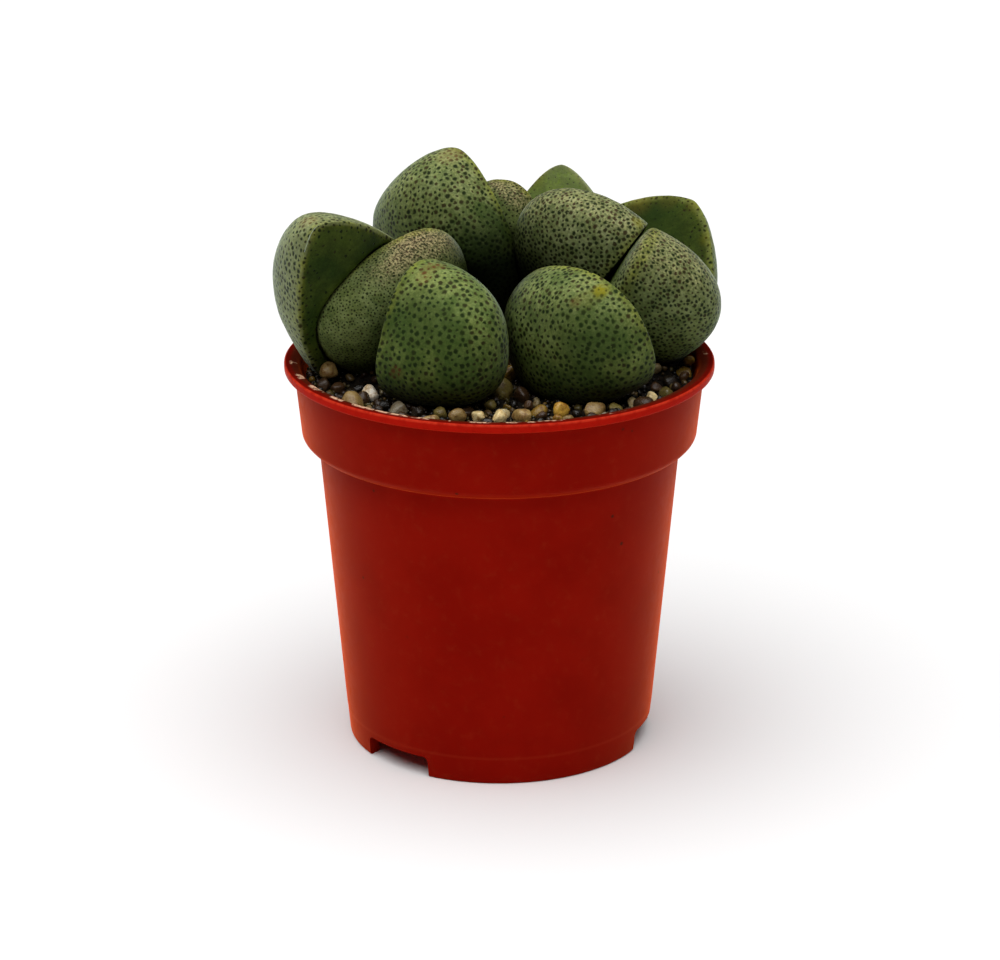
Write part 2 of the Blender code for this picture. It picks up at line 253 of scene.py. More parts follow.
# Neck: its radius, the core that goes right down to the foot, and the heights over the leaf's end at which it
# is whole and at which it has faded out.
NECK_RADIUS = 2.6 * MM
NECK_CORE = 1.9 * MM
NECK_FOOT = 43.5 * MM
NECK_HEIGHTS = (1.2 * MM, 3.0 * MM)

# place: the middle of the flat face, in mm. heading: where that face looks, turned from +Y about Z.
# lean: how far it looks up. roll: how far the tip falls sideways in the face. The angles are in degrees.
# width and height: the flat face. depth: the rounded back. taper: how much narrower the tip is.
# chin: how much fuller the back is towards the tip. point: how blunt the tip is, where 2 makes it round and
# 1 a straight-sided corner. crown: how far the flat face bulges, in mm. presses: the leaves that its skin
# is pressed out of.
Leaf = namedtuple("Leaf", "name place heading lean roll width height depth taper chin point crown presses")
LEAVES = (
    Leaf("leaf_front_left", (-10.0, -7.0, 56.7), 50, 2.5, 8, 14.7, 18.0, 13.0, 0.25, -0.07, 2.4, 0.9, ()),
    Leaf("leaf_front_right", (10.7, -5.7, 56.2), -45, 15.5, -11.5, 23.0, 17.7, 8.7, 0.07, -0.14, 2.4, 0.9,
         ()),
    Leaf("leaf_left_front", (-13.9, 0.1, 58.3), 33.5, 14, -28.5, 22.0, 16.4, 6.4, -0.08, 0.12, 2.4, 0.9,
         ("leaf_front_left",)),
    Leaf("leaf_right_lower", (15.9, -0.4, 59.7), 80, 25, -14, 11.8, 18.7, 12.2, -0.21, 0.15, 2.1, 2.2,
         ("leaf_front_right",)),
    Leaf("leaf_right_upper", (12.6, 6.3, 59.1), -102, -38, 28, 12.3, 25.0, 12.7, -0.27, 0.38, 1.7, 0.9,
         ("leaf_front_right", "leaf_right_lower")),
    Leaf("leaf_left_rear", (-18.5, -3.1, 60.0), -138, -13.5, 35.5, 18.2, 27.1, 10.6, 0.19, 0.21, 1.6, 0.9,
         ("leaf_left_front",)),
    Leaf("leaf_tall", (-6.2, 15.0, 63.0), -43.5, 2, 7.5, 23.6, 23.7, 8.0, 0.20, 0.40, 1.65, 0.9,
         ("leaf_left_front", "leaf_right_upper", "leaf_left_rear")),
    Leaf("leaf_right_rear", (17.0, 8.8, 57.1), 144.5, 27.5, -24, 24.5, 28.3, 6.8, -0.15, 0.36, 1.45, 0.9,
         ("leaf_right_lower", "leaf_right_upper")),
    Leaf("leaf_middle", (1.5, 18.2, 58.5), -31, 6.5, -3.5, 12.0, 22.4, 6.2, -0.07, 0.0, 2.4, 0.9,
         ("leaf_right_upper", "leaf_right_rear", "leaf_tall")),
    Leaf("leaf_back", (7.5, 20.4, 58.0), 158.5, 13, 1.5, 17.5, 25.0, 5.6, 0.16, 0.25, 1.6, 0.9,
         ("leaf_right_upper", "leaf_right_rear", "leaf_middle")),
    Leaf("leaf_tall_mate", (-7.8, 18.6, 55.0), 136.5, -2, -4, 9.5, 16.5, 4.4, 0.10, 0.10, 2.4, 0.9,
         ("leaf_tall", "leaf_middle", "leaf_left_rear")),
)

# Dots: their spacing and radius in mm. brown: how brown the leaf's crest is. bloom: how grey its skin is.
# flat: how bright its flat face is. rim: how far the dots reach over the margin of that face, in mm.
Look = namedtuple("Look", "spacing radius brown bloom flat rim")
LOOKS = {
    "leaf_front_left": Look(0.67, 0.275, 0.10, 0.18, 1.2, 0.3),
    "leaf_front_right": Look(0.65, 0.270, 0.20, 0.24, 1.2, 0.3),
    "leaf_left_front": Look(0.36, 0.130, 1.00, 0.35, 1.2, 0.3),
    "leaf_right_lower": Look(0.50, 0.225, 0.55, 0.50, 1.2, 4.0),
    "leaf_right_upper": Look(0.52, 0.245, 0.45, 0.60, 1.2, 0.8),
    "leaf_left_rear": Look(0.62, 0.255, 0.15, 1.30, 1.05, 0.4),
    "leaf_tall": Look(0.60, 0.258, 0.25, 0.36, 1.2, 0.3),
    "leaf_right_rear": Look(0.60, 0.200, 0.15, 0.30, 0.9, 0.6),
    "leaf_middle": Look(0.42, 0.155, 1.00, 0.25, 1.2, 0.3),
    "leaf_back": Look(0.60, 0.140, 0.20, 0.50, 4.2, 0.3),
    "leaf_tall_mate": Look(0.62, 0.220, 0.20, 0.45, 1.2, 0.3),
}

# Colours of the leaves, as linear RGB, and the noises in their skin.
GREEN_DARK = (0.064, 0.126, 0.014)
GREEN_LIGHT = (0.132, 0.190, 0.031)
BLOOM = (0.270, 0.310, 0.140)
GRAIN = (0.250, 0.300, 0.080)
CREST_DARK = (0.055, 0.045, 0.018)
CREST_LIGHT = (0.300, 0.245, 0.120)
FACE_DARK = (0.028, 0.055, 0.0065)
FACE_LIGHT = (0.072, 0.105, 0.013)
MARGIN = (0.200, 0.215, 0.022)
DOT_DARK = (0.006, 0.013, 0.001)
DOT_LIGHT = (0.024, 0.025, 0.003)
DOT_BROWN = (0.050, 0.022, 0.012)
PATCH_NOISE = (5 * MM, 3.0, 0.5)
BLOTCH_NOISE = (1.6 * MM, 3.0, 0.6)
GRAIN_NOISE = (0.45 * MM, 3.0, 0.65)
MOTTLE_NOISE = (0.32 * MM, 2.0, 0.6)

# Worn spots and wide patches on each leaf, those in deep green being painted shade: the place and
# radius in mm, the colour, and how strongly it tints the skin between the dots.
YELLOW = (0.240, 0.210, 0.004)
RUST = (0.260, 0.100, 0.025)
BUFF = (0.300, 0.190, 0.060)
UMBER_GREEN = (0.170, 0.135, 0.018)
# Painted shade, laid on the skin in wide patches.
PAINTED_SHADE_GREEN = (0.030, 0.065, 0.008)
PALE_GREEN = (0.300, 0.330, 0.170)
SPOTS = {
    "leaf_front_right": (
        ((12.4, -12.9, 63.5), 1.5, YELLOW, 0.95),
        ((10.8, -13.4, 62.4), 2.0, UMBER_GREEN, 0.30),
        ((9.3, -13.5, 62.0), 1.2, RUST, 0.25),
        ((10.0, -15.6, 57.6), 9.5, PAINTED_SHADE_GREEN, 0.55),
    ),
    "leaf_front_left": (
        ((-9.2, -14.8, 59.4), 9.0, PAINTED_SHADE_GREEN, 0.60),
        ((-9.3, -10.9, 64.5), 2.2, RUST, 0.18),
        ((-8.0, -9.2, 65.5), 1.6, RUST, 0.18),
        ((-12.6, -15.1, 53.6), 1.2, RUST, 0.15),
    ),
    "leaf_right_upper": (((17.7, 0.1, 68.5), 1.5, YELLOW, 0.45),),
    "leaf_left_rear": (((-23.4, -8.2, 71.1), 2.2, BUFF, 0.25),),
    "leaf_tall": (
        ((-1.3, 5.0, 62.0), 10.0, PAINTED_SHADE_GREEN, 0.80),
        ((-6.1, 12.5, 74.4), 2.6, BUFF, 0.25),
    ),
    "leaf_right_rear": (
        ((18.3, 14.2, 67.8), 2.6, UMBER_GREEN, 0.50),
        ((22.0, 12.0, 68.6), 2.4, UMBER_GREEN, 0.55),
        ((25.0, 10.3, 67.8), 2.2, UMBER_GREEN, 0.50),
        ((26.8, 6.9, 64.6), 2.0, YELLOW, 0.30),
        ((21.8, 10.3, 65.5), 5.5, PAINTED_SHADE_GREEN, 0.60),
    ),
    "leaf_back": (
        ((8.1, 22.5, 68.8), 9.0, PALE_GREEN, 0.45),
        ((5.4, 23.8, 67.6), 2.2, YELLOW, 0.25),
    ),
}
SPOT_RAGGED = 1.8

# Dots: how many tries, how unevenly they lie, their sizes, and how they thin out and shrink on the flat face.
DOT_SEED = 23
DOT_TRIES = 11
DOT_SPREAD = (0.86, 1.14)
DOT_SIZES = (0.60, 1.26)
FACE_DOTS = 0.9
FACE_BAND = 0.9 * MM
FACE_SHRINK = 0.35
# What bends the dots out of round: a noise, and how far.
BEND_NOISE = (0.5 * MM, 1.0, 0.5)
DOT_BEND = 0.38 * MM

# How much of the sky, and of the room at the sides, each point of the skin sees: the share of the rays
# between two heights that no leaf stops within the reach, smoothed over the skin. Where it sees little, shade
# is painted into the skin's colour.
SKY_HEIGHTS = (0.15, 1.0)
ROOM_HEIGHTS = (-0.55, 0.25)
SKY_DIRECTIONS = 16
GOLDEN_ANGLE = math.pi * (3 - math.sqrt(5))
SKY_START = 0.4 * MM
SKY_GRAZING = 0.02
SKY_REACH = 45 * MM
SKY_SMOOTHING = 8

# The deep hollow between the leaves, where shade is painted into the skin: its middle in mm, and where the
# painted shade ends.
HOLLOW = (0.5, 4.0, 56.0)
HOLLOW_REACH = (5.0, 14.5)


# Small helpers.

def new_object(name, data, material=None):
    if material:
        data.materials.append(material)
    obj = bpy.data.objects.new(name, data)
    bpy.context.scene.collection.objects.link(obj)
    return obj


def mesh_of(name, points, faces):
    mesh = bpy.data.meshes.new(name)
    mesh.from_pydata(points.tolist(), [], [tuple(face) for face in faces])
    mesh.shade_smooth()
    mesh.update()
    return mesh


def mesh_from(bm, name):
    """The mesh of a bmesh, which is freed."""
    mesh = bpy.data.meshes.new(name)
    bm.to_mesh(mesh)
    bm.free()
    return mesh


def add_attributes(mesh, domain, layers):
    """Adds numbers or vectors, by name, to the points or the faces of a mesh."""
    for name, values in layers.items():
        kind, key = ("FLOAT", "value") if values.ndim == 1 else ("FLOAT_VECTOR", "vector")
        layer = mesh.attributes.new(name, kind, domain)
        layer.data.foreach_set(key, values.astype(np.float32).ravel())


def tree_of(points):
    """A tree that finds the nearest of some points."""
    tree = kdtree.KDTree(len(points))
    for index, point in enumerate(points):
        tree.insert(point, index)
    tree.balance()
    return tree


def scaled(values, factor):
    return tuple(value * factor for value in values)


def unit(vectors):
    return vectors / np.linalg.norm(vectors, axis=1)[:, None]


def smooth_step(values, low, high):
    share = np.clip((values - low) / (high - low), 0, 1)
    return share * share * (3 - 2 * share)


def around(degrees_from_front, radius):
    angle = math.radians(degrees_from_front)
    return Vector((radius * math.sin(angle), -radius * math.cos(angle), 0.0))


def between(start, end, height):
    """The radius at a height on the straight line between two (radius, height) points."""
    share = (height - start[1]) / (end[1] - start[1])
    return start[0] + share * (end[0] - start[0])


def inside_wall(height):
    """The radius of the pot's inner surface, inside the band or inside the body."""
    if height > BAND_FOOT[1] + WALL:
        return between(BAND_FOOT, BAND_TOP, height) - WALL
    return between(FOOT, BODY_TOP, height) - WALL


class Shading:
    """The nodes of one material. Each input is a number, a colour, a vector or another node's output."""

    def __init__(self, name):
        self.material = bpy.data.materials.new(name)
        self.material.use_nodes = True
        self.tree = self.material.node_tree

    @cached_property
    def place(self):
        return self.node("ShaderNodeTexCoord").outputs["Object"]

    def put(self, socket, value):
        if isinstance(value, bpy.types.NodeSocket):
            self.tree.links.new(value, socket)
        elif socket.type == "RGBA":
            socket.default_value = (*value, 1.0)
        else:
            socket.default_value = value

    def node(self, kind, inputs=None, **settings):
        made = self.tree.nodes.new(kind)
        for name, value in settings.items():
            setattr(made, name, value)
        for name, value in (inputs or {}).items():
            self.put(made.inputs[name], value)
        return made

    def surface(self, inputs):
        """The finished material, with these inputs of its shader."""
        shader = self.tree.nodes["Principled BSDF"]
        for name, value in inputs.items():
            self.put(shader.inputs[name], value)
        return self.material

    def noise(self, size, detail, roughness, output="Fac"):
        """Noise from 0 to 1 whose lumps have about this size."""
        inputs = {"Vector": self.place, "Scale": 1 / size, "Detail": detail, "Roughness": roughness}
        return self.node("ShaderNodeTexNoise", inputs).outputs[output]

    def math(self, operation, first, second=0.0):
        return self.node("ShaderNodeMath", {0: first, 1: second}, operation=operation).outputs[0]

    def times(self, first, *others):
        for other in others:
            first = self.math("MULTIPLY", first, other)
        return first

    def vector(self, operation, first, second, output="Vector"):
        made = self.node("ShaderNodeVectorMath", {0: first, 1: second}, operation=operation)
        return made.outputs[output]

    def distance(self, spot, place=None):
        """The distance in mm to a spot from the place being shaded, or from another one."""
        away = self.vector("DISTANCE", place or self.place, spot, "Value")
        return self.math("DIVIDE", away, MM)

    def step(self, value, low, high, out_low=0.0, out_high=1.0):
        """A smooth step from out_low to out_high as the value goes from low to high."""
        inputs = {"Value": value, "From Min": low, "From Max": high, "To Min": out_low, "To Max": out_high}
        return self.node("ShaderNodeMapRange", inputs, interpolation_type="SMOOTHSTEP").outputs["Result"]

    def mix(self, factor, first, second, blend="MIX"):
        inputs = {0: factor, 6: first, 7: second}
        return self.node("ShaderNodeMix", inputs, data_type="RGBA", blend_type=blend).outputs[2]

    def attribute(self, name, output="Fac"):
        return self.node("ShaderNodeAttribute", attribute_name=name).outputs[output]

    def bump(self, height, distance, strength, under=None):
        """A bumped normal, on top of another one where that is given."""
        inputs = {"Height": height, "Distance": distance, "Strength": strength}
        if under:
            inputs["Normal"] = under
        return self.node("ShaderNodeBump", inputs).outputs["Normal"]


# Leaves.

def geodesic(frequency):
    """Unit directions and triangles of an icosahedron whose edges are cut into this many parts."""
    bm = bmesh.new()
    bmesh.ops.create_icosphere(bm, subdivisions=1, radius=1.0)
    bmesh.ops.subdivide_edges(bm, edges=bm.edges, cuts=frequency - 1, use_grid_fill=True)
    bmesh.ops.triangulate(bm, faces=bm.faces)
    bm.verts.index_update()
    directions = np.array([vertex.co.normalized() for vertex in bm.verts])
    faces = np.array([[vertex.index for vertex in face.verts] for face in bm.faces])
    bm.free()
    return directions, faces


def turn_of(leaf):
    angles = np.radians((leaf.lean, leaf.roll, leaf.heading))
    return np.array(Euler(angles, "YXZ").to_matrix())


def to_world(points, leaf):
    return points @ turn_of(leaf).T + np.array(leaf.place) * MM


def to_leaf(points, leaf):
    return (points - np.array(leaf.place) * MM) @ turn_of(leaf)


def roundness(x, y, z, leaf):
    """The power of the leaf's outline there, and how far out the point lies, where 1 is on the skin."""
    power = np.where(z > 0, leaf.point, SIDE_POWER)
    ring = np.abs(x) ** RING_POWER + np.abs(y) ** RING_POWER
    return power, ring ** (power / RING_POWER) + np.abs(z) ** power


def skin_points(directions, leaf):
    """Where directions from the middle of the flat face meet the leaf's skin, in the leaf's own frame."""
    power, reach = roundness(*directions.T, leaf)
    x, y, z = directions.T / reach ** (1 / power)
    half_width = leaf.width * MM / 2 * (1 - leaf.taper * z)
    outward = np.where(y < 0, leaf.depth * MM * (1 + leaf.chin * z), leaf.crown * MM)
    return np.stack((half_width * x, outward * y, leaf.height * MM / 2 * z), axis=1)


def level(points, leaf, grow):
    """Under 1 inside the leaf grown by a margin, over 1 outside it. The points are in the world."""
    own = to_leaf(np.atleast_2d(points), leaf)
    z = own[:, 2] / (leaf.height * MM / 2 + grow)
    share = np.clip(z, -1, 1)
    x = own[:, 0] / (leaf.width * MM / 2 * (1 - leaf.taper * share) + grow)
    depth = np.where(own[:, 1] < 0, leaf.depth * MM * (1 + leaf.chin * share), leaf.crown * MM) + grow
    return roundness(x, own[:, 1] / depth, z, leaf)[1]


def slope(points, leaf, grow):
    """The direction in which the level rises fastest at each point."""
    change = [level(points + axis, leaf, grow) - level(points - axis, leaf, grow)
              for axis in np.eye(3) * SLOPE_STEP]
    return unit(np.stack(change, axis=1))


def press(points, other):
    """Moves the points that lie in another leaf, or within the gap of it, straight out of it."""
    inside = np.flatnonzero(level(points, other, GAP) < 1)
    if not len(inside):
        return points
    away = slope(points[inside], other, GAP).mean(axis=0)
    away /= np.linalg.norm(away)
    near, far = np.zeros(len(inside)), np.full(len(inside), PRESS_REACH)
    for _ in range(PRESS_ROUNDS):
        middle = (near + far) / 2
        still_in = level(points[inside] + middle[:, None] * away, other, GAP) < 1
        near, far = np.where(still_in, middle, near), np.where(still_in, far, middle)
    points = points.copy()
    points[inside] += far[:, None] * away
    return points


def vertex_normals(points, faces):
    a, b, c = points[faces.T]
    face_normals = np.cross(b - a, c - a)
    normals = np.zeros_like(points)
    for index in range(3):
        np.add.at(normals, faces[:, index], face_normals)
    return unit(normals)


def wave(points, normals, seed, amount, size):
    """Moves the points along their normals by a slow, random wave."""
    shift = Vector([seed * part for part in WAVE_SHIFT])
    heights = [noise.noise(Vector(point) / size + shift) for point in points]
    return points + normals * (np.array(heights) * amount)[:, None]


def draw_neck(points, leaf_end):
    """Draws the skin round the leaf's lowest point down into the short neck that stands in the soil."""
    away = np.linalg.norm(points[:, :2] - leaf_end[:2], axis=1)
    share = 1 - smooth_step(away, NECK_CORE, NECK_RADIUS)
    share *= 1 - smooth_step(points[:, 2] - leaf_end[2], *NECK_HEIGHTS)
    drawn = points.copy()
    drawn[:, 2] += share * (NECK_FOOT - points[:, 2])
    return drawn


def leaf_zones(points, leaf, rim):
    """For each point: how near it is to the tip, how much it lies on the flat face inside the rim, and its
    distance from the margin between face and back."""
    own = to_leaf(points, leaf)
    z = own[:, 2] / (leaf.height * MM / 2)
    x = own[:, 0] / (leaf.width * MM / 2 * (1 - leaf.taper * np.clip(z, -1, 1)))
    power, reach = roundness(x, np.zeros_like(x), z, leaf)
    reach = reach ** (1 / power)
    across = np.linalg.norm(own[:, [0, 2]], axis=1)
    inset = across * np.abs(1 / np.maximum(reach, 0.01) - 1)
    margin = np.hypot(inset, own[:, 1])
    face = smooth_step(own[:, 1], -FACE_EDGE, FACE_EDGE) * smooth_step(inset / rim, *FACE_RIM)
    return z, face, margin


def scatter_dots(points, faces, leaf, look, seed):
    """Dots spread evenly at random over the skin: their places, radii and tones."""
    draw = np.random.RandomState(seed)
    a, b, c = points[faces.T]
    areas = np.linalg.norm(np.cross(b - a, c - a), axis=1) / 2
    count = int(DOT_TRIES * areas.sum() / (look.spacing * MM) ** 2)
    chosen = draw.choice(len(faces), count, p=areas / areas.sum())
    u, v = draw.random_sample((2, count, 1))
    u, v = np.where(u + v > 1, 1 - u, u), np.where(u + v > 1, 1 - v, v)
    places = a[chosen] * (1 - u - v) + b[chosen] * u + c[chosen] * v
    _, face, margin = leaf_zones(places, leaf, look.rim)
    keep = (face < 0.5) | (draw.random_sample(count) < FACE_DOTS * np.exp(-margin / FACE_BAND))
    keep &= places[:, 2] > GRIT_BOTTOM
    places, face = places[keep], face[keep]
    tree = tree_of(places)
    alive = np.ones(len(places), bool)
    taken = []
    for index, place in enumerate(places):
        if not alive[index]:
            continue
        taken.append(index)
        room = look.spacing * MM * draw.uniform(*DOT_SPREAD)
        for _, other, _ in tree.find_range(place, room):
            alive[other] = False
    radii = look.radius * MM * draw.uniform(*DOT_SIZES, len(taken)) * (1 - FACE_SHRINK * face[taken])
    tones = draw.random_sample(len(taken))
    return places[taken], radii, tones


def smoothed(values, faces, rounds):
    """Values on the points of a mesh, each averaged with its neighbours over and over."""
    count = len(values)
    corners = faces.ravel()
    shares = np.maximum(np.bincount(corners, minlength=count), 1)
    for _ in range(rounds):
        on_faces = values[faces].mean(axis=1)
        values = np.bincount(corners, np.repeat(on_faces, 3), minlength=count) / shares
    return values


def all_leaves():
    """The triangles of all the leaves, to cast rays at."""
    directions, faces = geodesic(SKY_FREQUENCY)
    points = np.concatenate([to_world(skin_points(directions, leaf), leaf) for leaf in LEAVES])
    polygons = np.concatenate([faces + index * len(directions) for index in range(len(LEAVES))])
    return bvhtree.BVHTree.FromPolygons(points.tolist(), polygons.tolist())


def openness(points, normals, faces, thicket, low, high):
    """The share of the directions between two heights that each point sees past all the leaves."""
    seen = np.zeros(len(points))
    starts = points + normals * SKY_START
    for index in range(SKY_DIRECTIONS):
        height = high - (high - low) * (index + 0.5) / SKY_DIRECTIONS
        turn = index * GOLDEN_ANGLE
        flat = math.sqrt(1 - height * height)
        direction = Vector((flat * math.cos(turn), flat * math.sin(turn), height))
        for spot in np.flatnonzero(normals @ np.array(direction) > SKY_GRAZING):
            if thicket.ray_cast(Vector(starts[spot]), direction, SKY_REACH)[0] is None:
                seen[spot] += 1
    return smoothed(seen / SKY_DIRECTIONS, faces, SKY_SMOOTHING)


def make_leaf(leaf, directions, faces, leaves, thicket, seed):
    look = LOOKS[leaf.name]
    points = to_world(skin_points(directions, leaf), leaf)
    normals = vertex_normals(points, faces)
    points = wave(points, normals, seed, *SKIN_WAVE)
    points = wave(points, normals, seed + PUCKER_SEED, *SKIN_PUCKER)
    for other in leaf.presses:
        points = press(points, leaves[other])
    normals = vertex_normals(points, faces)
    tip, face, margin = leaf_zones(points, leaf, look.rim)
    places, radii, tones = scatter_dots(points, faces, leaf, look, DOT_SEED + seed)
    dots = tree_of(places)
    nearest = [dots.find(centre)[1] for centre in points[faces].mean(axis=1)]
    leaf_end = points[np.argmin(points[:, 2])]
    mesh = mesh_of(leaf.name, draw_neck(points, leaf_end), faces)
    add_attributes(mesh, "FACE", {
        "dot_place": places[nearest],
        "dot_radius": radii[nearest] / MM,
        "dot_tone": tones[nearest],
    })
    add_attributes(mesh, "POINT", {
        "tip": tip,
        "face": face,
        "margin": margin / MM,
        "open_sky": openness(points, normals, faces, thicket, *SKY_HEIGHTS),
        "open_room": openness(points, normals, faces, thicket, *ROOM_HEIGHTS),
    })
    obj = new_object(f"{leaf.name}_skin", mesh, leaf_material(leaf.name, look))
    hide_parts(leaf.name)
    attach(obj, "root")


def make_leaves():
    directions, faces = geodesic(SKIN_FREQUENCY)
    leaves = {leaf.name: leaf for leaf in LEAVES}
    thicket = all_leaves()
    for seed, leaf in enumerate(LEAVES):
        make_leaf(leaf, directions, faces, leaves, thicket, seed)


def leaf_material(leaf_name, look):
    """Waxy green skin with dark dots, a browner crest, a yellower margin, worn spots and painted shade."""
    nodes = Shading(f"{leaf_name} skin")
    tip, face, margin, sky = (nodes.attribute(name) for name in ("tip", "face", "margin", "open_sky"))
    patches = nodes.noise(*PATCH_NOISE)
    blotches = nodes.noise(*BLOTCH_NOISE)
    grain = nodes.noise(*GRAIN_NOISE)
    mottle = nodes.noise(*MOTTLE_NOISE)

    patchy = nodes.step(patches, 0.3, 0.7)
    skin = nodes.mix(patchy, GREEN_DARK, GREEN_LIGHT)
    bloom = nodes.times(nodes.step(tip, -0.7, 0.9, 0.35, 1.25), look.bloom,
                        nodes.step(blotches, 0.3, 0.7, 0.6, 1.3))
    skin = nodes.mix(bloom, skin, BLOOM)
    skin = nodes.mix(nodes.step(grain, 0.4, 0.75, 0.0, 0.5), skin, GRAIN)
    crest = nodes.times(nodes.step(sky, 0.40, 0.85), look.brown, nodes.step(patches, 0.2, 0.6, 0.5, 1.0))
    skin = nodes.mix(crest, skin, nodes.mix(nodes.step(mottle, 0.40, 0.60), CREST_DARK, CREST_LIGHT))
    flat = nodes.mix(patchy, scaled(FACE_DARK, look.flat), scaled(FACE_LIGHT, look.flat))
    skin = nodes.mix(face, skin, flat)
    edge = nodes.times(nodes.step(margin, 0.1, 1.4, 0.75, 0.0), nodes.step(blotches, 0.3, 0.7, 0.3, 1.0),
                       nodes.step(tip, -0.5, 0.4, 0.25, 1.0))
    skin = nodes.mix(edge, skin, MARGIN)
    light = nodes.times(nodes.step(blotches, 0.25, 0.75, 0.80, 1.18),
                        nodes.step(mottle, 0.25, 0.75, 0.80, 1.22))
    skin = nodes.mix(1.0, skin, light, "MULTIPLY")

    tone = nodes.attribute("dot_tone")
    dark = nodes.mix(nodes.step(tone, 0.3, 1.0), DOT_DARK, DOT_LIGHT)
    brown = nodes.times(nodes.math("ADD", crest, 0.25), nodes.step(tone, 0.3, 0.9))
    dark = nodes.mix(brown, dark, DOT_BROWN)
    # Worn spots, and the wide deep green patches of painted shade, tint the skin and the dots.
    for spot, size, colour, strength in SPOTS.get(leaf_name, ()):
        ragged = nodes.times(nodes.math("SUBTRACT", patches, 0.5), SPOT_RAGGED * size)
        away = nodes.math("ADD", nodes.distance(scaled(spot, MM)), ragged)
        wear_and_shade = nodes.times(nodes.step(away, 0.25 * size, size, 1.0, 0.0),
                           nodes.step(grain, 0.3, 0.5, 0.5, 1.0))
        skin = nodes.mix(nodes.times(wear_and_shade, strength), skin, colour)
        dark = nodes.mix(nodes.times(wear_and_shade, 0.8), dark, scaled(colour, 0.5))

    bend = nodes.vector("SUBTRACT", nodes.noise(*BEND_NOISE, "Color"), (0.5, 0.5, 0.5))
    bend = nodes.vector("MULTIPLY", bend, 3 * (DOT_BEND,))
    from_dot = nodes.distance(nodes.attribute("dot_place", "Vector"), nodes.vector("ADD", nodes.place, bend))
    dot = nodes.step(nodes.math("DIVIDE", from_dot, nodes.attribute("dot_radius")), 0.55, 1.35, 1.0, 0.0)
    colour = nodes.mix(nodes.times(dot, 0.95), skin, dark)
    # Painted shade: the skin is darkened where it sees little of the sky and the room, and in the hollow
    # between the leaves; where it sees the most sky it is lightened a little.
    seen = nodes.math("ADD", sky, nodes.times(nodes.attribute("open_room"), 0.8))
    shade = nodes.times(nodes.step(seen, 0.05, 0.45, 0.30, 1.0), nodes.step(sky, 0.52, 0.86, 0.62, 1.05),
                        nodes.step(nodes.distance(scaled(HOLLOW, MM)), *HOLLOW_REACH, 0.12, 1.0))
    fine = nodes.bump(grain, 0.08 * MM, 0.8)
    return nodes.surface({
        "Base Color": nodes.mix(1.0, colour, shade, "MULTIPLY"),
        "Roughness": nodes.step(grain, 0.2, 0.8, 0.45, 0.65),
        "Specular IOR Level": 0.05,
        "Sheen Weight": nodes.step(seen, 0.45, 0.85, 0.0, 0.40),
        "Sheen Roughness": 0.35,
        "Sheen Tint": (0.80, 0.95, 0.80),
        "Subsurface Weight": 0.05,
        "Subsurface Radius": (0.7, 1.0, 0.3),
        "Subsurface Scale": 0.4 * MM,
        "Normal": nodes.bump(dot, -0.04 * MM, 0.7, fine),
    })


# Grit.

def feet_of_leaves():
    """The lowest point of each leaf, where its neck starts."""
    directions, _ = geodesic(FOOT_FREQUENCY)
    feet = []
    for leaf in LEAVES:
        points = to_world(skin_points(directions, leaf), leaf)
        feet.append(points[np.argmin(points[:, 2])])
    return feet


def ground(points, feet):
    """The height of the fines at each (x, y): they rise at the wall, and round each neck up to its leaf."""
    heights = GRIT_TOP + BANK_RISE * smooth_step(np.hypot(points[:, 0], points[:, 1]), *BANK)
    for foot in feet:
        away = np.hypot(points[:, 0] - foot[0], points[:, 1] - foot[1])
        mound = foot[2] + MOUND_RISE - MOUND_SLOPE * np.maximum(away - MOUND_CLEAR, 0)
        heights = np.maximum(heights, mound)
    return heights


def sink_under(points, leaf):
    """Lowers the points that lie in the leaf, grown by the gap, to just under it."""
    under = np.flatnonzero(level(points, leaf, GAP) < 1)
    if not len(under):
        return
    spots = points[under]
    low, high = np.full(len(under), BED_LEAST), spots[:, 2].copy()
    for _ in range(SINK_ROUNDS):
        spots[:, 2] = (low + high) / 2
        still_in = level(spots, leaf, GAP) < 1
        low, high = np.where(still_in, low, spots[:, 2]), np.where(still_in, spots[:, 2], high)
    points[under, 2] = low


def make_bed(material, feet):
    """A crumbly disc of dark fines under the pebbles, pushed down under each leaf."""
    wall = inside_wall(GRIT_BOTTOM) - GAP
    radii = np.linspace(0, 1, BED_RINGS + 1)[1:] * wall
    angles = np.arange(BED_SEGMENTS) / BED_SEGMENTS * math.tau
    top = [(0.0, 0.0, 0.0)]
    for radius in radii:
        top += [(radius * math.cos(angle), radius * math.sin(angle), 0.0) for angle in angles]
    top = np.array(top)
    lumps = [noise.noise(Vector(point) / BED_LUMP) + CRUMB_SHARE * noise.noise(Vector(point) / BED_CRUMB)
             for point in top]
    top[:, 2] = ground(top, feet) - BED_SUNK + BED_ROUGH * np.array(lumps)
    for leaf, foot in zip(LEAVES, feet):
        sink_under(top, leaf)
        away = np.hypot(top[:, 0] - foot[0], top[:, 1] - foot[1])
        top[away < NECK_RADIUS + GAP, 2] = BED_LEAST
    last = 1 + (BED_RINGS - 1) * BED_SEGMENTS
    bottom = top[last:].copy()
    bottom[:, 2] = GRIT_BOTTOM
    points = np.vstack([top, bottom, (0.0, 0.0, GRIT_BOTTOM)])
    low = len(top)
    faces = []
    for index in range(BED_SEGMENTS):
        after = (index + 1) % BED_SEGMENTS
        faces.append((0, 1 + index, 1 + after))
        for ring in range(BED_RINGS - 1):
            inner, outer = 1 + ring * BED_SEGMENTS, 1 + (ring + 1) * BED_SEGMENTS
            faces.append((inner + index, outer + index, outer + after, inner + after))
        faces.append((last + index, low + index, low + after, last + after))
        faces.append((low + after, low + index, len(points) - 1))
    obj = new_object("grit_bed", mesh_of("grit_bed", points, faces), material)
    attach(obj, "root")


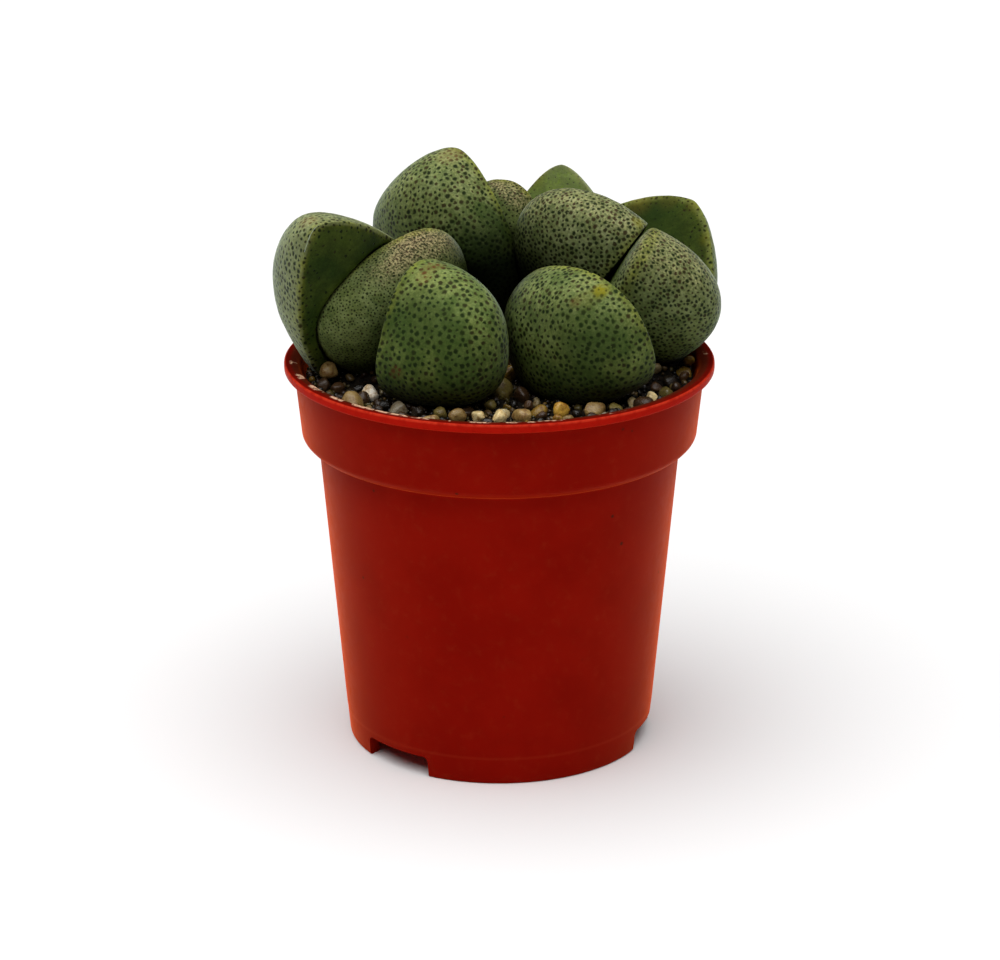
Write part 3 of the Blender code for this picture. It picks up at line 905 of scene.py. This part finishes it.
def is_clear(centre, radius, others, feet):
    """Whether a pebble stays clear of the pot, the leaves, their necks and the other pebbles."""
    if centre[:2] @ centre[:2] > (inside_wall(centre[2]) - GAP - radius) ** 2:
        return False
    away = np.linalg.norm(others[:, :3] - centre, axis=1)
    if (away < PEBBLE_CROWDING * (radius + others[:, 3])).any():
        return False
    if any(np.hypot(*(centre - foot)[:2]) < NECK_RADIUS + radius for foot in feet):
        return False
    return not any(level(centre, leaf, radius * LEAF_CROWDING)[0] < 1 for leaf in LEAVES)


def place_pebbles(draw, feet):
    """Pebbles on free ground, the chosen ones first: centre, radius, fineness and colour."""
    placed = []
    others = np.empty((0, 4))
    for x, y, size, colour, *high in CHOSEN_PEBBLES:
        radius = size * MM
        centre = np.array([(x * MM, y * MM, 0.0)])
        centre[:, 2] = ground(centre, feet) + radius * (high[0] if high else CHOSEN_RISE)
        outward = centre[0] * (1, 1, 0) / np.linalg.norm(centre[0, :2])
        for step in sorted(range(-CHOSEN_STEPS, CHOSEN_STEPS + 1), key=abs):
            spot = centre[0] + outward * step * CHOSEN_STEP
            if is_clear(spot, radius, others, feet):
                placed.append((spot, radius, CHOSEN_FINENESS, colour))
                others = np.vstack((others, (*spot, radius)))
                break
    for low, high, count, fineness in PEBBLE_SIZES:
        made = 0
        for _ in range(count * PEBBLE_TRIES):
            if made == count:
                break
            radius = draw.uniform(low, high)
            wall = inside_wall(GRIT_TOP) - GAP - radius
            centre = np.array([around(draw.uniform(0, 360), wall * math.sqrt(draw.random()))])
            centre[:, 2] = ground(centre, feet) + radius * draw.uniform(*PEBBLE_RISE)
            if is_clear(centre[0], radius, others, feet):
                placed.append((centre[0], radius, fineness, draw.choice(PEBBLE_COLOURS)))
                others = np.vstack((others, (*centre[0], radius)))
                made += 1
    return placed


def pebble_shape(directions, draw):
    """A worn, angular stone round the origin, about 1 in radius: flats with rounded edges between them."""
    flats = unit(np.array([[draw.gauss(0, 1) for _ in range(3)] for _ in range(PEBBLE_FLATS)]))
    flats /= np.array([draw.uniform(*FLAT_REACH) for _ in range(PEBBLE_FLATS)])[:, None]
    sharpness = draw.uniform(*EDGE_SHARPNESS)
    pushes = np.maximum(directions @ flats.T, 0) ** sharpness
    reach = np.minimum((pushes.sum(axis=1) + EDGE_FILL) ** (-1 / sharpness), PEBBLE_REACH)
    shift = Vector([draw.uniform(-50, 50) for _ in range(3)])
    lumps = [noise.noise(Vector(direction) * LUMP_FREQUENCY + shift) * LUMP_DEPTH for direction in directions]
    squash = np.array([draw.uniform(*limits) for limits in PEBBLE_SQUASH])
    turn = np.array(Euler([draw.uniform(0, math.tau) for _ in range(3)]).to_matrix())
    return (directions * (reach * (1 + np.array(lumps)))[:, None] * squash) @ turn.T


def make_pebbles(material, feet):
    draw = random.Random(PEBBLE_SEED)
    spheres = {fineness: geodesic(fineness) for _, _, _, fineness in PEBBLE_SIZES}
    points, faces, tints, start = [], [], [], 0
    for index, (centre, radius, fineness, colour) in enumerate(place_pebbles(draw, feet)):
        directions, triangles = spheres[fineness]
        points.append(pebble_shape(directions, draw) * radius + centre)
        faces.append(triangles + start)
        light = 1.0 if index < len(CHOSEN_PEBBLES) else FINE_LIGHT + LIGHT_PER_MM * radius / MM
        tint = np.array(colour) * draw.uniform(*PEBBLE_LIGHT) * light
        tints.append(np.tile(np.append(tint, 1.0), (len(directions), 1)))
        start += len(directions)
    mesh = mesh_of("grit_pebbles", np.concatenate(points), np.concatenate(faces))
    tint = mesh.color_attributes.new("tint", "FLOAT_COLOR", "POINT")
    tint.data.foreach_set("color", np.concatenate(tints).astype(np.float32).ravel())
    obj = new_object("grit_pebbles", mesh, material)
    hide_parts("grit")
    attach(obj, "root")


def pebble_material():
    """Stone in each pebble's own colour, with stained veins and bright specks."""
    nodes = Shading("pebble stone")
    veins = nodes.noise(*VEIN_NOISE)
    specks = nodes.noise(*SPECK_NOISE)
    tint = nodes.attribute("tint", "Color")
    stained = nodes.mix(1.0, tint, STAIN, "MULTIPLY")
    bright = nodes.mix(1.0, tint, SPECK, "MULTIPLY")
    colour = nodes.mix(nodes.step(veins, 0.42, 0.68, 0.0, 0.9), tint, stained)
    return nodes.surface({
        "Base Color": nodes.mix(nodes.step(specks, 0.50, 0.75, 0.0, 0.6), colour, bright),
        "Roughness": nodes.step(veins, 0.3, 0.7, 0.15, 0.5),
        "Specular IOR Level": 0.45,
        "Normal": nodes.bump(specks, 0.09 * MM, 0.8),
    })


def soil_material():
    """Dark damp crumbs."""
    nodes = Shading("dark soil")
    crumbs = nodes.noise(*SOIL_NOISE)
    return nodes.surface({
        "Base Color": nodes.mix(nodes.step(crumbs, 0.35, 0.7), SOIL_DARK, SOIL_LIGHT),
        "Roughness": 0.9,
        "Specular IOR Level": 0.15,
        "Normal": nodes.bump(crumbs, 0.3 * MM, 0.9),
    })


# Pot.

def rounded(points, radius):
    """The same (radius, height) outline with each inner corner rounded off."""
    made = [points[0]]
    for before, corner, after in zip(points, points[1:], points[2:]):
        before, corner, after = Vector(before), Vector(corner), Vector(after)
        reach = min(radius, (before - corner).length * CORNER_SHARE, (after - corner).length * CORNER_SHARE)
        start = corner + (before - corner).normalized() * reach
        end = corner + (after - corner).normalized() * reach
        for step in range(CORNER_STEPS + 1):
            share = step / CORNER_STEPS
            near, far = start.lerp(corner, share), corner.lerp(end, share)
            made.append(tuple(near.lerp(far, share)))
    made.append(points[-1])
    return made


def pot_outline():
    """From the middle of the floor's top over the lip and the foot to the middle of its underside."""
    low_rise, mid_rise, high_rise = SHOULDER
    step_low = BODY_TOP[1] + low_rise
    inner_top = LIP_TOP - MOUTH_DROP
    lip_low = LIP_TOP - LIP_THICKNESS
    line = between(FOOT, BODY_TOP, MOULD_LINE)
    return rounded([
        (0.0, FLOOR_TOP),
        (inside_wall(FLOOR_TOP), FLOOR_TOP),
        (between(FOOT, BODY_TOP, step_low) - WALL, step_low),
        (BAND_UNDER[0] - SHOULDER_INSET, BAND_UNDER[1] + mid_rise),
        (BAND_FOOT[0] - WALL, BAND_FOOT[1] + high_rise),
        (between(BAND_FOOT, BAND_TOP, inner_top) - WALL, inner_top),
        (LIP_MOUTH - MOUTH_EDGE[0], LIP_TOP - MOUTH_EDGE[1]),
        (LIP_MOUTH, LIP_TOP),
        (LIP_RADIUS, LIP_TOP),
        (LIP_RADIUS, lip_low),
        (BAND_TOP[0] + UNDER_LIP[0], lip_low),
        (BAND_TOP[0], BAND_TOP[1] - UNDER_LIP[1]),
        BAND_FOOT,
        BAND_UNDER,
        BODY_TOP,
        (line + MOULD_LINE_DEPTH, MOULD_LINE + MOULD_LINE_SIDES[1]),
        (line, MOULD_LINE - MOULD_LINE_SIDES[0]),
        FOOT,
        (FOOT[0] - FOOT_RING, 0.0),
        (FOOT[0] - FOOT_RING, FLOOR_UNDER),
        (0.0, FLOOR_UNDER),
    ], LIP_EDGE)


def turned(name, outline, sides, material):
    """An outline that starts and ends on the axis, turned about it."""
    bm = bmesh.new()
    rings = []
    for radius, height in outline:
        if radius < 1e-7:
            rings.append([bm.verts.new((0, 0, height))])
            continue
        angles = (index / sides * math.tau for index in range(sides))
        rings.append([bm.verts.new((radius * math.cos(a), radius * math.sin(a), height)) for a in angles])
    for low, high in zip(rings, rings[1:]):
        for index in range(sides):
            after = (index + 1) % sides
            corners = [low[index % len(low)], low[after % len(low)], high[after % len(high)],
                       high[index % len(high)]]
            bm.faces.new(list(dict.fromkeys(corners)))
    bmesh.ops.recalc_face_normals(bm, faces=bm.faces)
    return new_object(name, mesh_from(bm, name), material)


def notch_cutter(degrees):
    width, depth, height = NOTCH_SIZE
    bm = bmesh.new()
    bmesh.ops.create_cube(bm, size=1.0)
    bmesh.ops.scale(bm, vec=(width, depth, height + CUT_PAST), verts=bm.verts)
    bmesh.ops.bevel(bm, geom=bm.edges, offset=NOTCH_ROUND, segments=NOTCH_SEGMENTS, profile=0.5,
                    affect="EDGES")
    obj = new_object("notch", mesh_from(bm, "notch"))
    obj.location = around(degrees, FOOT[0]) + Vector((0, 0, (height - CUT_PAST) / 2))
    obj.rotation_euler.z = math.radians(degrees)
    return obj


def drain_cutter(centre, radius):
    bm = bmesh.new()
    bmesh.ops.create_cone(bm, cap_ends=True, segments=DRAIN_SIDES, radius1=radius, radius2=radius,
                          depth=FLOOR_TOP - FLOOR_UNDER + 2 * CUT_PAST)
    obj = new_object("drain", mesh_from(bm, "drain"))
    obj.location = centre + Vector((0, 0, (FLOOR_TOP + FLOOR_UNDER) / 2))
    return obj


def make_pot(material):
    pot = turned("pot_shell", pot_outline(), POT_SIDES, material)
    cutters = [drain_cutter(Vector((0, 0, 0)), CENTRE_DRAIN_RADIUS)]
    for index in range(NOTCH_COUNT):
        degrees = NOTCH_FIRST + index * 360 / NOTCH_COUNT
        cutters.append(notch_cutter(degrees))
        cutters.append(drain_cutter(around(degrees, DRAIN_CIRCLE), DRAIN_RADIUS))
    for cutter in cutters:
        cut = pot.modifiers.new(cutter.name, "BOOLEAN")
        cut.operation = "DIFFERENCE"
        cut.solver = "EXACT"
        cut.object = cutter
    graph = bpy.context.evaluated_depsgraph_get()
    mesh = bpy.data.meshes.new_from_object(pot.evaluated_get(graph))
    pot.modifiers.clear()
    pot.data = mesh
    mesh.shade_smooth()
    mesh.set_sharp_from_angle(angle=math.radians(SHARP_ANGLE))
    for cutter in cutters:
        bpy.data.objects.remove(cutter)
    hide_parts("pot")
    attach(pot, "root")


def pot_material():
    """Thin red moulded plastic, a little dusty and dirty, with painted light, a painted highlight and painted
    shade on the lip, a darker inner edge to the mouth, and lime in the mouth, most of it at the front left."""
    nodes = Shading("red plastic")
    cloud = nodes.noise(*CLOUD_NOISE)
    dust = nodes.noise(*DUST_NOISE)
    colour = nodes.mix(nodes.step(cloud, 0.3, 0.7), RED_DEEP, RED_BRIGHT)
    colour = nodes.mix(nodes.step(dust, 0.50, 0.85, 0.0, 0.22), colour, POT_DUST)
    cells = nodes.node("ShaderNodeTexVoronoi", {"Vector": nodes.place, "Scale": 1 / SPECK_SPACING})
    rare = nodes.step(nodes.noise(*RARE_NOISE), 0.50, 0.56)
    speck = nodes.times(nodes.step(cells.outputs["Distance"], 0.05, 0.10, 1.0, 0.0), rare, 0.85)
    colour = nodes.mix(speck, colour, POT_SPECK)

    x, y, z = nodes.node("ShaderNodeSeparateXYZ", {"Vector": nodes.place}).outputs
    radius = nodes.math("SQRT", nodes.math("ADD", nodes.times(x, x), nodes.times(y, y)))
    # Painted shade: the top of the lip is darkened.
    lip = nodes.step(z, *LIP_PAINTED_SHADE, 1.0, 0.55)
    colour = nodes.mix(1.0, colour, lip, "MULTIPLY")
    from_line = nodes.math("ABSOLUTE", nodes.math("SUBTRACT", z, MOULD_LINE))
    colour = nodes.mix(nodes.step(from_line, *LINE_WIDTH, 0.12, 0.0), colour, POT_LINE)
    # Painted light: the lip's outer face is made a lighter red.
    face = nodes.step(nodes.math("SUBTRACT", radius, LIP_RADIUS), *LIP_FACE_DEPTH)
    colour = nodes.mix(nodes.times(face, nodes.step(dust, 0.30, 0.60, 0.70, 1.0)), colour, LIP_FACE_PAINTED_LIGHT)
    # Painted highlight: a thin bright line along the lip's upper outer edge.
    lip_highlight = nodes.times(face, nodes.step(z, *LIP_HIGHLIGHT_HEIGHTS), nodes.step(dust, 0.35, 0.60, 0.15, 0.55))
    colour = nodes.mix(lip_highlight, colour, LIP_PAINTED_HIGHLIGHT)
    # Darker at the inner edge of the mouth.
    mouth = nodes.times(nodes.step(radius, *MOUTH_RADII, 1.0, 0.0), nodes.step(z, *MOUTH_HEIGHTS))
    colour = nodes.mix(nodes.times(mouth, 0.75), colour, MOUTH_EDGE_DARK)
    front_left = nodes.times(nodes.math("ADD", y, nodes.times(x, 0.35)), -1.0)
    limit = nodes.step(front_left, *LIME_SIDE, 0.72, 0.47)
    lumps = nodes.noise(*LIME_NOISE)
    crumbs = nodes.noise(*CRUMB_NOISE)
    crust = nodes.times(nodes.step(nodes.math("SUBTRACT", lumps, limit), 0.0, 0.05),
                        nodes.step(crumbs, 0.40, 0.50), mouth)
    colour = nodes.mix(nodes.times(crust, 0.9), colour, LIME)
    rough = nodes.bump(crust, 0.15 * MM, 0.6)
    return nodes.surface({
        "Base Color": colour,
        "Roughness": nodes.step(dust, 0.3, 0.8, 0.34, 0.50),
        "Specular IOR Level": 0.01,
        "Specular Tint": (1.0, 0.35, 0.15),
        "Sheen Weight": nodes.step(z, *LIP_SHEEN, 1.0, 0.25),
        "Sheen Roughness": 0.35,
        "Sheen Tint": (1.0, 0.14, 0.02),
        "Normal": nodes.bump(nodes.noise(*RIPPLE_NOISE), 0.03 * MM, 0.4, rough),
    })


# Floor, light and camera.

def make_floor():
    bm = bmesh.new()
    bmesh.ops.create_grid(bm, x_segments=1, y_segments=1, size=STUDIO_FLOOR)
    material = Shading("pale floor").surface({
        "Base Color": (0.9, 0.9, 0.9),
        "Roughness": 0.9,
        "Specular IOR Level": 0.1,
    })
    new_object("floor", mesh_from(bm, "floor"), material)


def make_lights():
    """A wide soft light overhead, leaning to the front and the left, and a little light from all round."""
    world = bpy.data.worlds.new("studio")
    bpy.context.scene.world = world
    world.use_nodes = True
    background = world.node_tree.nodes["Background"]
    background.inputs["Color"].default_value = (1.0, 1.0, 1.0, 1.0)
    background.inputs["Strength"].default_value = ROOM_LIGHT
    data = bpy.data.lights.new("softbox", "SUN")
    data.energy = SOFTBOX_STRENGTH
    data.angle = math.radians(SOFTBOX_ANGLE)
    softbox = new_object("softbox", data)
    softbox.rotation_euler = np.radians(SOFTBOX_LEAN)


def make_camera():
    data = bpy.data.cameras.new("camera")
    data.lens = LENS
    data.sensor_width = SENSOR
    data.clip_start = 10 * MM
    camera = new_object("camera", data)
    pitch = math.radians(CAMERA_PITCH)
    back = Vector((0, -math.cos(pitch), math.sin(pitch)))
    camera.location = Vector(LOOK_AT) + back * CAMERA_DISTANCE
    camera.rotation_euler = (math.radians(90) - pitch, 0, 0)
    bpy.context.scene.camera = camera


def main():
    for obj in list(bpy.data.objects):
        bpy.data.objects.remove(obj)
    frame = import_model()
    soil = soil_material()
    soil_mesh = frame["nodes"]["soil"].data
    soil_mesh.materials.clear()
    soil_mesh.materials.append(soil)
    make_pot(pot_material())
    feet = feet_of_leaves()
    make_bed(soil, feet)
    make_pebbles(pebble_material(), feet)
    make_leaves()
    make_floor()
    make_lights()
    make_camera()
    bpy.context.scene.view_settings.view_transform = "Standard"


main()
